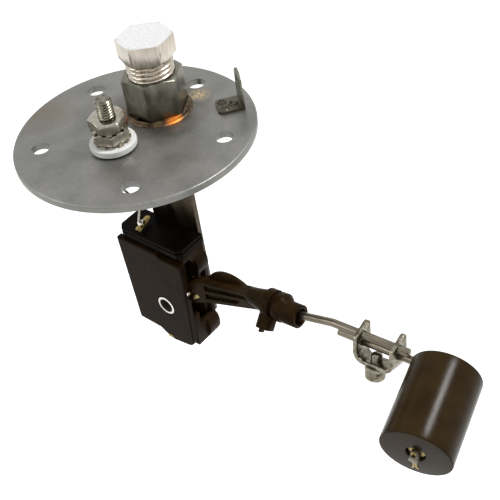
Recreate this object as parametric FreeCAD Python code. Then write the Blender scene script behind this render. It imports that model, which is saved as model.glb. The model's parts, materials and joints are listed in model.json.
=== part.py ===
import FreeCAD, Part
import math
import os

V = FreeCAD.Vector
X_AXIS = V(1, 0, 0)
Y_AXIS = V(0, 1, 0)
Z_AXIS = V(0, 0, 1)

# Fuel level sender with a five-hole flange, a moulded resistor housing on a strap
# and a swinging float arm. Millimetres. The origin is the centre of the flange's
# underside, +Z points up out of the tank, +X towards the float, -Y to the cover.

# Flange
flange_diameter = 69.85
flange_thickness = 2.0
flange_edge_radius = 0.6
bolt_edge_margin = 7.935
bolt_hole = 5.3
narrow_gap_deg = 69.5

# Port: hexagonal coupling brazed on the flange, closed by a pipe plug
port_x = -0.9
port_y = 11.4
coupling_flats = 15.875
coupling_height = 12.6
port_hole = 8.6
pipe_thread = 13.6
pipe_taper = 1.0 / 16.0
coupling_thread_depth = 9.0
braze_width = 0.9
braze_height = 1.2
plug_flats = 14.3
plug_head_height = 6.2
plug_neck = 5.0
plug_thread_depth = 6.4
plug_top_chamfer = 0.3
plug_turn_deg = 41.0

# Terminal stud with its insulators and nuts
stud_x = 0.7
stud_y = -9.0
stud_diameter = 4.75
stud_top = 17.6
stud_bottom = -9.2
nut_flats = 9.53
nut_height = 3.2
star_washer_diameter = 10.6
star_washer_height = 0.7
star_teeth = 12
stud_clearance = 0.1
gasket_diameter = 12.6
gasket_height = 0.4
insulator_diameter = 13.3
insulator_height = 2.0
bush_diameter = 7.4
bush_clearance = 0.1
lug_height = 0.6
lug_diameter = 9.0
lug_width = 3.0
lug_reach = 8.6

# Ground terminal blade on the flange
tab_centre_x = 17.0
tab_centre_y = 22.2
tab_turn_deg = -38.0
tab_thickness = 0.8
tab_foot_width = 7.2
tab_foot_depth = 7.6
tab_blade_width = 6.35
tab_blade_height = 10.9
tab_shoulder_height = 5.2
tab_corner = 1.6
tab_dimple = 1.1
tab_dimple_rim = 0.3

# Strap that hangs from the flange
strap_width = 19.05
strap_thickness = 1.6
strap_front_y = 7.2
strap_length = 74.0
strap_bend_radius = 2.2
strap_foot_front_y = -1.8
port_relief_clearance = 1.0

# Housing: base, cover and lid
housing_centre_x = -2.0
lid_half_width = 13.0
lid_above_pivot = 26.3
lid_height = 3.2
lid_rim = 1.0
lid_front_inset = 1.2
cover_front_y = -5.0
cover_top_gap = 0.7
cover_top_half_width = 13.6
cover_foot_left = 12.2
cover_foot_right = 11.9
cover_depth = 2.2
cover_wall = 1.3
cover_step_drop = 1.2
housing_left_drop = 13.0
housing_drop = 16.3
housing_right_lift = 1.3
housing_corner = 3.2
strap_corner = 2.6
base_wall = 1.4
base_side_inset = 0.9
base_foot_right = 12.2
slot_step_y = -0.1
slot_front_drop = 2.3
slot_rear_drop = 7.1
slot_front_rise = 20.6
slot_rear_rise = 17.4
slot_depth = 3.4
ear_reach = 0.9
ear_height = 6.0
ear_front_y = 2.2
ear_below_lid = 4.2
foot_ear_reach = 1.4

# Pivot: a tubular rivet through cover, arm hub and base
pivot_x = 0.8
pivot_above_strap_end = 10.1
pivot_diameter = 5.5
pivot_bore = 4.9
pivot_rim_diameter = 6.7
pivot_rim_height = 0.4
pivot_recess = 0.25
pivot_clearance = 0.05

# Resistor card and its contacts
card_thickness = 0.9
card_width = 17.0
card_height = 27.0
card_drop = 9.1
card_offset_x = 1.8
winding_radius = 8.0
winding_width = 2.0
winding_height = 0.45
winding_overrun_deg = 3.0
wiper_lead_deg = 75.0
wiper_thickness = 0.4
wiper_width = 2.0
wiper_ring = 8.8
wiper_tang_reach = 13.2
wiper_tang_length = 3.4
wiper_tang_drop = 1.25
wiper_tang_height = 1.3
wiper_tang_proud = 0.15
side_gap = 0.3

# Input terminal on the lid and its lead
terminal_x = -7.2
terminal_width = 2.3
terminal_thickness = 0.6
terminal_front_y = -2.3
terminal_rear_y = 2.3
terminal_lift = 1.5
terminal_depth = 4.0
lead_diameter = 0.9

# Float arm: moulded lever with a sleeve that grips the rod
arm_y = -0.5
arm_thickness = 4.0
arm_root_x = 15.5
arm_root_rise = 11.7
arm_neck_x = 40.5
arm_neck_rise = 19.1
arm_root_height = 8.0
arm_neck_height = 5.0
link_thickness = 1.3
link_reach = 11.5
hub_diameter = 11.0
boss_diameter = 9.0
sleeve_diameter = 7.0
sleeve_offset = 0.43
sleeve_end_x = 53.9
sleeve_end_rise = 20.15
sleeve_mouth = 5.0
sleeve_mouth_depth = 1.8
sleeve_swell = 5.6
collar_diameter = 8.8
collar_width = 2.0
collar_place = 5.6
arm_recess = 0.9
bow_rise = 2.6
bow_thickness = 1.2
bow_start = 1.0
bow_length = 15.5
arm_up_deg = 8.0
arm_down_deg = 56.0

# Cable tie between the collars
tie_place = 2.85
tie_width = 2.6
tie_thickness = 0.9
tie_head = 5.0
tie_head_height = 4.2
tie_tail = 1.3
tie_tail_width = 1.8
tie_turn_deg = -42.0

# Rods, clamp and float
rod_diameter = 2.38
rod_gap = 0.04
rod_bend_x = 65.1
rod_bend_rise = 23.1
rod_end_x = 89.4
rod_end_rise = 24.9
float_rod_start_x = 67.0
float_rod_rise_x = 92.0
clamp_left_x = 73.9
clamp_length = 12.6
clamp_sheet = 1.2
clamp_drop = 7.5
clamp_front = 3.3
clamp_front_foot = 2.4
clamp_front_rise = 0.1
clamp_rear = 2.9
clamp_rear_rise = 4.2
clamp_rear_foot = 4.0
clamp_rear_drop = 1.6
clamp_bend = 3.2
clamp_tip_radius = 1.1
clamp_turn_deg = -18.0
clamp_screw = 3.2
clamp_screw_shift = 0.3
clamp_screw_head = 5.8
clamp_screw_head_height = 3.4
lock_washer_height = 1.1
slip_clearance = 0.06
float_diameter = 18.7
float_length = 24.2
float_edge_radius = 0.4
float_far_x = 101.8
float_far_y = -2.7
float_far_rise = 26.95
float_yaw_deg = 11.6
float_pitch_deg = -8.6
float_bore_clearance = 0.08
float_counterbore = 5.0
float_counterbore_depth = 1.6
float_end_gap = 0.3
float_bend_radius = 2.0
float_rod_proud = 1.8
cotter_diameter = 0.9
cotter_leg = 5.2
cotter_eye = 1.4


def block(x0, x1, y0, y1, z0, z1):
    return Part.makeBox(x1 - x0, y1 - y0, z1 - z0, V(x0, y0, z0))


def rod_z(x, y, z0, z1, radius):
    return Part.makeCylinder(radius, z1 - z0, V(x, y, z0), Z_AXIS)


def rod_y(x, z, y0, y1, radius):
    return Part.makeCylinder(radius, y1 - y0, V(x, y0, z), Y_AXIS)


def hexagon(x, y, z0, z1, flats, turn_deg=0.0):
    """Hexagonal prism, upright, with a corner on +X turned by turn_deg."""
    radius = flats / math.sqrt(3.0)
    angles = [math.radians(turn_deg + 60.0 * k) for k in range(7)]
    points = [V(x + radius * math.cos(a), y + radius * math.sin(a), z0) for a in angles]
    return Part.Face(Part.makePolygon(points)).extrude(V(0, 0, z1 - z0))


def panel(points, y0, y1):
    """A plate cut to an outline in the XZ plane, from y0 back to y1."""
    outline = Part.makePolygon([V(x, y0, z) for x, z in points + points[:1]])
    return Part.Face(outline).extrude(V(0, y1 - y0, 0))


def runs_along_y(edge):
    ends = [v.Point for v in edge.Vertexes]
    if len(ends) != 2:
        return False
    return abs(ends[0].x - ends[1].x) < 1e-6 and abs(ends[0].z - ends[1].z) < 1e-6


def rounded_path(points, radii):
    """Straight runs joined by tangent arcs, one radius for each inner point."""
    edges = []
    last = points[0]
    for before, corner, after, radius in zip(points, points[1:], points[2:], radii):
        incoming = (corner - before).normalize()
        outgoing = (after - corner).normalize()
        turn = incoming.getAngle(outgoing)
        cut = radius * math.tan(turn / 2.0)
        start = corner - incoming * cut
        end = corner + outgoing * cut
        inward = (outgoing - incoming).normalize()
        reach = radius / math.cos(turn / 2.0) - radius
        edges.append(Part.LineSegment(last, start).toShape())
        edges.append(Part.Arc(start, corner + inward * reach, end).toShape())
        last = end
    edges.append(Part.LineSegment(last, points[-1]).toShape())
    return Part.Wire(edges)


def wire_along(points, radii, diameter):
    path = rounded_path(points, radii)
    heading = (points[1] - points[0]).normalize()
    profile = Part.Wire(Part.makeCircle(diameter / 2.0, points[0], heading))
    return path.makePipeShell([profile], True, False)


def turned(profile, origin, axis):
    """Solid of revolution: profile holds (radius, height) pairs along the axis."""
    points = [V(r, 0, h) for r, h in profile + profile[:1]]
    solid = Part.Face(Part.makePolygon(points)).revolve(V(0, 0, 0), Z_AXIS, 360)
    solid.Placement = FreeCAD.Placement(origin, FreeCAD.Rotation(Z_AXIS, axis))
    return solid


def chamfer_blank(x, y, z0, z1, flats, foot_drop, top_drop):
    """Turned blank whose chamfers take off a hexagonal prism's corners."""
    corner = flats / math.sqrt(3.0) + 0.01
    face = flats / 2.0 - 0.1
    profile = [(0, z0), (face, z0), (corner, z0 + foot_drop), (corner, z1 - top_drop), (face, z1), (0, z1)]
    return turned(profile, V(x, y, 0), Z_AXIS)


def full_chamfer(flats):
    """Height of a 30-degree chamfer from a hexagon's flats out to its corners."""
    return flats * (1.0 / math.sqrt(3.0) - 0.5) * math.tan(math.radians(30.0))


# Places worked out from the sizes
flange_radius = flange_diameter / 2.0
bolt_circle_radius = flange_radius - bolt_edge_margin
pivot_z = pivot_above_strap_end - strap_length
coupling_top = flange_thickness + coupling_height
strap_back_y = strap_front_y + strap_thickness
lid_top_z = pivot_z + lid_above_pivot
lid_bottom_z = lid_top_z - lid_height
housing_left_bottom_z = pivot_z - housing_left_drop
housing_bottom_z = pivot_z - housing_drop
housing_right_bottom_z = housing_bottom_z + housing_right_lift
cover_top_z = lid_bottom_z - cover_top_gap
cover_rear_y = cover_front_y + cover_depth
housing_rear_y = strap_front_y
stud_hole_radius = bush_diameter / 2.0 + bush_clearance
gasket_z = flange_thickness
insulator_z = gasket_z + gasket_height
lower_star_z = insulator_z + insulator_height
lower_nut_z = lower_star_z + star_washer_height
upper_star_z = lower_nut_z + nut_height
upper_nut_z = upper_star_z + star_washer_height
under_insulator_z = -insulator_height
lug_z = under_insulator_z - lug_height
under_nut_z = lug_z - nut_height
rod_radius = rod_diameter / 2.0
rod_pitch = rod_diameter + rod_gap
arm_front_y = arm_y - arm_thickness / 2.0
arm_back_y = arm_y + arm_thickness / 2.0
boss_front_y = arm_back_y + wiper_thickness + 2.0 * side_gap
arm_root_z = pivot_z + arm_root_rise
arm_neck_z = pivot_z + arm_neck_rise
sleeve_end_z = pivot_z + sleeve_end_rise
rod_bend_z = pivot_z + rod_bend_rise
rod_end_z = pivot_z + rod_end_rise
rod_slope = math.atan2(rod_end_z - rod_bend_z, rod_end_x - rod_bend_x)
sleeve_slope = math.atan2(sleeve_end_z - arm_neck_z, sleeve_end_x - arm_neck_x)
yaw = math.radians(float_yaw_deg)
pitch = math.radians(float_pitch_deg)
float_axis = V(math.sin(yaw) * math.cos(pitch), -math.cos(yaw) * math.cos(pitch), math.sin(pitch))
float_far = V(float_far_x, float_far_y, pivot_z + float_far_rise)
float_near = float_far + float_axis * float_length
card_front_y = housing_rear_y - base_wall - card_thickness
winding_front_y = card_front_y - winding_height
arm_rest_deg = math.degrees(math.atan2(arm_root_rise, arm_root_x - pivot_x))
clamp_screw_x = clamp_length / 2.0 - clamp_screw_shift


def bolt_angles():
    """Four equal gaps and a wide one at the front of the flange."""
    return [90.0 + narrow_gap_deg * k for k in (-2, -1, 0, 1, 2)]


def on_rod(x):
    """Height of the upper rod's axis at x, on its straight outer run."""
    return rod_bend_z + (x - rod_bend_x) * math.tan(rod_slope)


def make_flange():
    plate = rod_z(0, 0, 0, flange_thickness, flange_radius)
    middle = flange_thickness / 2.0
    rim = [e for e in plate.Edges if len(e.Vertexes) == 1 and e.BoundBox.ZMin > middle]
    plate = plate.makeFillet(flange_edge_radius, rim)
    for angle in bolt_angles():
        x = bolt_circle_radius * math.cos(math.radians(angle))
        y = bolt_circle_radius * math.sin(math.radians(angle))
        plate = plate.cut(rod_z(x, y, -1, flange_thickness + 1, bolt_hole / 2.0))
    plate = plate.cut(rod_z(port_x, port_y, -1, flange_thickness + 1, port_hole / 2.0))
    return plate.cut(rod_z(stud_x, stud_y, -1, flange_thickness + 1, stud_hole_radius))


def pipe_radius(z):
    """Radius of the tapered pipe thread, widest at the coupling's mouth."""
    return pipe_thread / 2.0 - (coupling_top - z) * pipe_taper / 2.0


def pipe_cone(z0, z1, grow=0.0):
    low = pipe_radius(z0) + grow
    high = pipe_radius(z1) + grow
    return Part.makeCone(low, high, z1 - z0, V(port_x, port_y, z0), Z_AXIS)


def make_coupling():
    foot = flange_thickness
    body = hexagon(port_x, port_y, foot, coupling_top, coupling_flats)
    body = body.common(chamfer_blank(port_x, port_y, foot, coupling_top, coupling_flats,
                                     0.0, full_chamfer(coupling_flats)))
    body = body.cut(rod_z(port_x, port_y, foot - 1, coupling_top, port_hole / 2.0))
    return body.cut(pipe_cone(coupling_top - coupling_thread_depth, coupling_top + 1))


def make_braze():
    """Concave bead of braze metal round the coupling's foot."""
    z0 = flange_thickness
    inner = coupling_flats / 2.0 - 0.5
    crest = coupling_flats / math.sqrt(3.0) + 0.05
    profile = [(inner, z0), (crest + braze_width, z0), (crest + 0.35 * braze_width, z0 + 0.35 * braze_height),
               (crest, z0 + braze_height), (inner, z0 + braze_height)]
    bead = turned(profile, V(port_x, port_y, 0), Z_AXIS)
    return bead.cut(hexagon(port_x, port_y, z0 - 1, z0 + braze_height + 1, coupling_flats))


def make_plug():
    head_z = coupling_top + plug_neck
    head_top = head_z + plug_head_height
    head = hexagon(port_x, port_y, head_z, head_top, plug_flats, plug_turn_deg)
    head = head.common(chamfer_blank(port_x, port_y, head_z, head_top, plug_flats,
                                     full_chamfer(plug_flats), plug_top_chamfer))
    shank = pipe_cone(coupling_top - plug_thread_depth, head_z, -0.02)
    return head.fuse(shank).removeSplitter()


def make_stud():
    radius = stud_diameter / 2.0
    tip = stud_diameter * 0.1
    profile = [(0, stud_bottom), (radius - tip, stud_bottom), (radius, stud_bottom + tip),
               (radius, stud_top - tip), (radius - tip, stud_top), (0, stud_top)]
    return turned(profile, V(stud_x, stud_y, 0), Z_AXIS)


def stud_ring(z0, height, diameter):
    bore = stud_diameter / 2.0 + stud_clearance
    outer = rod_z(stud_x, stud_y, z0, z0 + height, diameter / 2.0)
    return outer.cut(rod_z(stud_x, stud_y, z0 - 1, z0 + height + 1, bore))


def make_nut(z0, turn_deg):
    nut = hexagon(stud_x, stud_y, z0, z0 + nut_height, nut_flats, turn_deg)
    drop = full_chamfer(nut_flats)
    nut = nut.common(chamfer_blank(stud_x, stud_y, z0, z0 + nut_height, nut_flats, drop, drop))
    return nut.cut(rod_z(stud_x, stud_y, z0 - 1, z0 + nut_height + 1, stud_diameter / 2.0))


def make_star_washer(z0):
    """External-tooth lock washer: notches cut all round a flat ring."""
    ring = stud_ring(z0, star_washer_height, star_washer_diameter)
    outer = star_washer_diameter / 2.0
    notch_width = math.pi * star_washer_diameter / star_teeth * 0.45
    for k in range(star_teeth):
        notch = block(outer * 0.74, outer + 1, -notch_width / 2.0, notch_width / 2.0, z0 - 1, z0 + 2)
        notch.rotate(V(0, 0, 0), Z_AXIS, 360.0 / star_teeth * k)
        notch.translate(V(stud_x, stud_y, 0))
        ring = ring.cut(notch)
    return ring


def make_upper_insulator():
    ring = stud_ring(insulator_z, insulator_height, insulator_diameter)
    rim = [e for e in ring.Edges if e.BoundBox.XLength > insulator_diameter * 0.9]
    return ring.makeFillet(insulator_height * 0.2, rim)


def make_under_insulator():
    """Shouldered bush: a flange under the plate and a collar up through its hole."""
    ring = stud_ring(under_insulator_z, insulator_height, insulator_diameter)
    collar = stud_ring(0, flange_thickness + gasket_height, bush_diameter)
    return ring.fuse(collar).removeSplitter()


def make_gasket():
    ring = rod_z(stud_x, stud_y, gasket_z, insulator_z, gasket_diameter / 2.0)
    return ring.cut(rod_z(stud_x, stud_y, gasket_z - 1, insulator_z + 1, stud_hole_radius))


def make_lug():
    """Ring lug between the lower bush and the lower nut, its tongue towards the housing."""
    half = lug_width / 2.0
    tongue = block(stud_x - lug_reach, stud_x, stud_y - half, stud_y + half, lug_z, under_insulator_z)
    lug = rod_z(stud_x, stud_y, lug_z, under_insulator_z, lug_diameter / 2.0).fuse(tongue).removeSplitter()
    return lug.cut(rod_z(stud_x, stud_y, lug_z - 1, 0, stud_diameter / 2.0 + stud_clearance))


def make_ground_tab():
    """Spot-welded foot with an upright quarter-inch blade on its outer edge."""
    half = tab_foot_width / 2.0
    depth = tab_foot_depth / 2.0
    foot = block(-half, half, -depth, depth, 0, tab_thickness)
    upright = [e for e in foot.Edges if e.BoundBox.ZLength > 0.9 * tab_thickness and e.BoundBox.YMax < 0]
    foot = foot.makeFillet(tab_corner, upright)
    wide = block(-half, half, depth - tab_thickness, depth, 0, tab_shoulder_height)
    blade_half = tab_blade_width / 2.0
    bevel = tab_blade_width * 0.22
    outline = [(-blade_half, 0), (blade_half, 0), (blade_half, tab_blade_height - bevel),
               (blade_half - bevel, tab_blade_height), (bevel - blade_half, tab_blade_height),
               (-blade_half, tab_blade_height - bevel)]
    blade = panel(outline, depth - tab_thickness, depth)
    blade = blade.cut(rod_y(0, tab_blade_height * 0.7, depth - 2, depth + 2, 0.7))
    tab = foot.fuse([wide, blade]).removeSplitter()
    reach = tab_foot_width * 0.26
    for x, y in ((-reach, -reach), (reach, -reach), (0.0, reach * 0.5)):
        tab = tab.fuse(Part.makeTorus(tab_dimple, tab_dimple_rim, V(x, y, tab_thickness), Z_AXIS))
        tab = tab.cut(Part.makeSphere(tab_dimple, V(x, y, tab_thickness + tab_dimple * 0.75)))
    tab.rotate(V(0, 0, 0), Z_AXIS, tab_turn_deg)
    tab.translate(V(tab_centre_x, tab_centre_y, flange_thickness))
    return tab


def make_strap():
    """Strap bent forward under the flange, opened round the port's hole."""
    half = strap_width / 2.0
    inner = strap_bend_radius
    outer = inner + strap_thickness
    y_bend = strap_back_y - outer
    upright = block(-half, half, strap_front_y, strap_back_y, -strap_length, -outer)
    foot = block(-half, half, strap_foot_front_y, y_bend, -strap_thickness, 0)
    bend = Part.makeCylinder(outer, strap_width, V(-half, y_bend, -outer), X_AXIS)
    bend = bend.cut(Part.makeCylinder(inner, strap_width + 2, V(-half - 1, y_bend, -outer), X_AXIS))
    bend = bend.common(block(-half, half, y_bend, strap_back_y, -outer, 0))
    strap = upright.fuse([foot, bend]).removeSplitter()
    relief = rod_z(port_x, port_y, -outer - 3.0, 1, port_hole / 2.0 + port_relief_clearance)
    strap = strap.cut(relief)
    bottom = [e for e in strap.Edges if runs_along_y(e) and e.BoundBox.ZMax < 1 - strap_length]
    return hole_y(strap.makeFillet(strap_corner, bottom), pivot_x, pivot_z, pivot_diameter / 2.0)


def cover_outline(shrink=0.0):
    """Front outline: tapered sides, a stepped top and a foot that drops past the pivot."""
    top = cover_top_z - shrink
    step = top - cover_step_drop
    left = housing_centre_x - cover_top_half_width + shrink
    right = housing_centre_x + cover_top_half_width - shrink
    foot_left = housing_centre_x - cover_foot_left + shrink
    foot_right = housing_centre_x + cover_foot_right - shrink
    floor_left = housing_left_bottom_z + shrink
    floor_right = housing_right_bottom_z + shrink
    floor = housing_bottom_z + shrink
    return [(left, top), (pivot_x + 0.7, top), (pivot_x + 1.7, step), (right, step),
            (foot_right, floor_right), (pivot_x, floor), (pivot_x - 3.1, floor + 1.1),
            (pivot_x - 5.7, floor_left - 0.4), (foot_left, floor_left)]


def body_outline(shrink=0.0):
    """Outline of the base behind the cover: inside it on the left, past it at the lower right."""
    inset = base_side_inset + shrink
    left = housing_centre_x - cover_top_half_width + inset
    right = housing_centre_x + cover_top_half_width - inset
    foot_left = housing_centre_x - cover_foot_left + inset
    foot_right = housing_centre_x + base_foot_right - shrink
    top = lid_bottom_z - shrink
    floor = housing_bottom_z + shrink + 0.6
    floor_left = housing_left_bottom_z + shrink + 0.5
    return [(left, top), (right, top), (foot_right, floor), (pivot_x, floor),
            (pivot_x - 5.7, floor_left), (foot_left, floor_left)]


def hole_y(shape, x, z, radius):
    box = shape.BoundBox
    return shape.cut(rod_y(x, z, box.YMin - 1, box.YMax + 1, radius))


def make_cover():
    """Shallow moulded cover: a front wall with a skirt, open at the back."""
    shell = panel(cover_outline(), cover_front_y, cover_rear_y)
    foot_right = housing_centre_x + cover_foot_right
    corners = [e for e in shell.Edges if runs_along_y(e) and abs(e.BoundBox.XMin - foot_right) < 1e-6]
    shell = shell.makeFillet(housing_corner, corners)
    front = [e for e in shell.Edges if e.BoundBox.YMax < cover_front_y + 1e-6]
    shell = shell.makeFillet(0.5, front)
    shell = shell.cut(panel(cover_outline(cover_wall), cover_front_y + cover_wall, cover_rear_y + 1))
    seat = pivot_rim_diameter / 2.0 + 0.4
    boss = rod_y(pivot_x, pivot_z, cover_front_y + cover_wall / 2.0, cover_rear_y, seat + cover_wall / 2.0)
    shell = shell.fuse(boss).removeSplitter()
    shell = shell.cut(rod_y(pivot_x, pivot_z, cover_front_y - 1, cover_front_y + pivot_recess, seat))
    return hole_y(shell, pivot_x, pivot_z, pivot_diameter / 2.0)


def make_base():
    """Tray behind the cover: back, walls, floor, a stepped slot for the arm and two ears."""
    inner_back = housing_rear_y - base_wall
    tray = panel(body_outline(), cover_rear_y, housing_rear_y)
    foot_right = housing_centre_x + base_foot_right
    floor = housing_bottom_z + 0.6
    foot_ear = [(foot_right - 2.0, pivot_z - slot_rear_drop), (foot_right - 0.6, pivot_z - slot_rear_drop),
                (foot_right + foot_ear_reach * 0.75, pivot_z - slot_rear_drop - 1.6),
                (foot_right + foot_ear_reach, pivot_z - slot_rear_drop - 3.6),
                (foot_right + foot_ear_reach * 0.85, floor + 2.2), (foot_right, floor),
                (foot_right - 2.0, floor)]
    tray = tray.fuse(panel(foot_ear, ear_front_y, housing_rear_y))
    tray = tray.cut(panel(body_outline(base_wall), cover_rear_y - 1, inner_back))
    side = housing_centre_x + cover_top_half_width - base_side_inset
    ear_top = lid_bottom_z - ear_below_lid
    ear_low = ear_top - ear_height
    root = side - base_wall
    ear = [(root, ear_top), (side + ear_reach * 0.5, ear_top), (side + ear_reach, ear_top - ear_height * 0.3),
           (side + ear_reach, ear_top - ear_height * 0.62), (side + ear_reach * 0.4, ear_low), (root, ear_low)]
    tray = tray.fuse(panel(ear, ear_front_y, housing_rear_y))
    slot = [(cover_rear_y - 1, pivot_z - slot_front_drop), (slot_step_y, pivot_z - slot_front_drop),
            (slot_step_y, pivot_z - slot_rear_drop), (inner_back, pivot_z - slot_rear_drop),
            (inner_back, ear_low), (ear_front_y, ear_low), (ear_front_y, pivot_z + slot_rear_rise),
            (slot_step_y, pivot_z + slot_front_rise), (cover_rear_y - 1, pivot_z + slot_front_rise)]
    start = side - slot_depth
    profile = Part.makePolygon([V(start, y, z) for y, z in slot + slot[:1]])
    tray = tray.cut(Part.Face(profile).extrude(V(slot_depth + ear_reach + 5, 0, 0)))
    boss = rod_y(pivot_x, pivot_z, boss_front_y, housing_rear_y - base_wall / 2.0, boss_diameter / 2.0)
    tray = tray.fuse(boss).removeSplitter().cut(terminal_slot())
    return hole_y(tray, pivot_x, pivot_z, pivot_diameter / 2.0)


def make_lid():
    """Cap with a raised rim line and corners cut at the front left."""
    left = housing_centre_x - lid_half_width
    right = housing_centre_x + lid_half_width
    front = cover_front_y + lid_front_inset
    back = housing_rear_y
    cut = 1.6
    outline = [(left, front + cut), (left + cut, front), (right - cut, front), (right, front + cut),
               (right, back), (left, back)]
    wire = Part.makePolygon([V(x, y, lid_bottom_z) for x, y in outline + outline[:1]])
    cap = Part.Face(wire).extrude(V(0, 0, lid_height))
    upper = [e for e in cap.Edges if e.BoundBox.ZMin > lid_top_z - 1e-6 and e.BoundBox.YMax < back - 1e-6]
    cap = cap.makeFillet(0.5, upper)
    groove_low = lid_top_z - lid_rim - 0.5
    inner = [(x + math.copysign(0.5, housing_centre_x - x), y + (0.5 if y < 0 else -0.5)) for x, y in outline]
    ring = Part.makePolygon([V(x, y, groove_low) for x, y in inner + inner[:1]])
    keep = Part.Face(ring).extrude(V(0, 0, 0.5))
    band = block(left - 1, right + 1, front - 1, back - 0.5, groove_low, groove_low + 0.5).cut(keep)
    cap = cap.cut(band)
    return cap.cut(terminal_slot())


def terminal_slot():
    half = terminal_width / 2.0
    return block(terminal_x - half, terminal_x + half, terminal_front_y, terminal_front_y + terminal_thickness,
                 lid_bottom_z - 2.0 * base_wall, lid_top_z + 1)


def make_input_terminal():
    """Brass strip up through the lid, folded back over it as a solder lug."""
    half = terminal_width / 2.0
    rise = math.atan2(terminal_lift, terminal_rear_y - terminal_front_y)
    post = block(terminal_x - half, terminal_x + half, terminal_front_y, terminal_front_y + terminal_thickness,
                 lid_bottom_z - terminal_depth, lid_top_z + terminal_thickness)
    reach = (terminal_rear_y - terminal_front_y) / math.cos(rise)
    lug = block(terminal_x - half, terminal_x + half, 0, reach, 0, terminal_thickness)
    lug = lug.fuse(rod_z(terminal_x, reach, 0, terminal_thickness, half)).removeSplitter()
    lug.rotate(V(terminal_x, 0, 0), X_AXIS, math.degrees(rise))
    lug.translate(V(0, terminal_front_y, lid_top_z))
    return post.fuse(lug).removeSplitter()


def lead_points():
    """Chosen points of the stiff lead from the lug under the flange to the terminal."""
    drop = lid_top_z - lug_z
    start_x = stud_x - lug_reach + 1.0
    solder_z = lid_top_z + terminal_lift + terminal_thickness - 0.1
    return [V(start_x, stud_y, lug_z - 0.2), V(start_x - 0.1, stud_y + 0.1, lug_z + 0.18 * drop),
            V(start_x - 0.3, stud_y + 4.6, lug_z + 0.47 * drop), V(terminal_x, 1.2, lug_z + 0.75 * drop),
            V(terminal_x, -1.4, lug_z + 0.914 * drop), V(terminal_x, 0.9, solder_z)]


def make_lead():
    points = lead_points()
    radii = []
    for before, corner, after in zip(points, points[1:], points[2:]):
        first = corner - before
        second = after - corner
        shorter = min(first.Length, second.Length)
        turn = first.getAngle(second)
        radii.append(0.45 * shorter / math.tan(turn / 2.0))
    return wire_along(points, radii, lead_diameter)


def make_pivot():
    """Tubular rivet through cover, hub, base and strap, with a rolled rim at each end."""
    seat = cover_front_y + pivot_recess
    front = seat - pivot_rim_height
    rear = strap_back_y + pivot_rim_height
    bore = pivot_bore / 2.0
    outer = pivot_diameter / 2.0
    rim = pivot_rim_diameter / 2.0
    profile = [(bore, front), (rim, front), (rim, seat), (outer, seat), (outer, strap_back_y),
               (rim, strap_back_y), (rim, rear), (bore, rear)]
    return turned(profile, V(pivot_x, 0, pivot_z), Y_AXIS)


def make_card():
    """Insulating card against the back of the housing, cleared round the pivot boss."""
    centre = housing_centre_x + card_offset_x
    half = card_width / 2.0
    low = pivot_z - card_drop
    back = card_front_y + card_thickness
    card = block(centre - half, centre + half, card_front_y, back, low, low + card_height)
    return hole_y(card, pivot_x, pivot_z, boss_diameter / 2.0 + 0.1)


def ring_sector(radius, width, y0, y1, start_deg, end_deg):
    """Part of a flat ring about the pivot, between two angles above +X."""
    outer = radius + width / 2.0
    inner = radius - width / 2.0
    low = math.radians(start_deg)
    mid = math.radians((start_deg + end_deg) / 2.0)
    high = math.radians(end_deg)

    def at(r, a):
        return V(pivot_x + r * math.cos(a), y0, pivot_z + r * math.sin(a))

    edges = [Part.Arc(at(outer, low), at(outer, mid), at(outer, high)).toShape(),
             Part.LineSegment(at(outer, high), at(inner, high)).toShape(),
             Part.Arc(at(inner, high), at(inner, mid), at(inner, low)).toShape(),
             Part.LineSegment(at(inner, low), at(outer, low)).toShape()]
    return Part.Face(Part.Wire(edges)).extrude(V(0, y1 - y0, 0))


def make_winding():
    """Resistance wire's arc on the card, as long as the wiper's swing."""
    lead = arm_rest_deg + wiper_lead_deg
    return ring_sector(winding_radius, winding_width, winding_front_y, card_front_y,
                       lead - arm_down_deg - winding_overrun_deg, lead + arm_up_deg + winding_overrun_deg)


def along_link(reach, side):
    """Point at a distance from the pivot along the arm's first part, and across it."""
    bearing = math.radians(arm_rest_deg)
    return (pivot_x + reach * math.cos(bearing) - side * math.sin(bearing),
            pivot_z + reach * math.sin(bearing) + side * math.cos(bearing))


def link_plate(reach0, reach1, side0, side1, y0, y1):
    corners = [(reach0, side0), (reach1, side0), (reach1, side1), (reach0, side1)]
    return panel([along_link(reach, side) for reach, side in corners], y0, y1)


def wiper_tang(y0, y1):
    """Tang that fixes the wiper through the arm's root."""
    half = wiper_tang_height / 2.0
    return link_plate(wiper_tang_reach, wiper_tang_reach + wiper_tang_length,
                      -wiper_tang_drop - half, half - wiper_tang_drop, y0, y1)


def arm_edge(x):
    """Height of the lever's centre line and its half height at x."""
    share = (x - arm_root_x) / (arm_neck_x - arm_root_x)
    centre = arm_root_z + (arm_neck_z - arm_root_z) * share
    half = (arm_root_height + (arm_neck_height - arm_root_height) * share) / 2.0
    return centre, half


def arm_groove(side, end_share):
    """Recess along the lever's front, on one side of its middle rib."""
    start_x = arm_root_x + 2.2
    end_x = arm_root_x + (arm_neck_x - arm_root_x) * end_share
    slant = arm_root_height * 0.2
    rib = 0.55
    points = []
    for x, outer in ((start_x, False), (end_x, False), (end_x - slant, True), (start_x, True)):
        centre, half = arm_edge(x)
        points.append((x, centre + side * (half - 1.0 if outer else rib)))
    return panel(points, arm_front_y - 1, arm_front_y + arm_recess)


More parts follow.
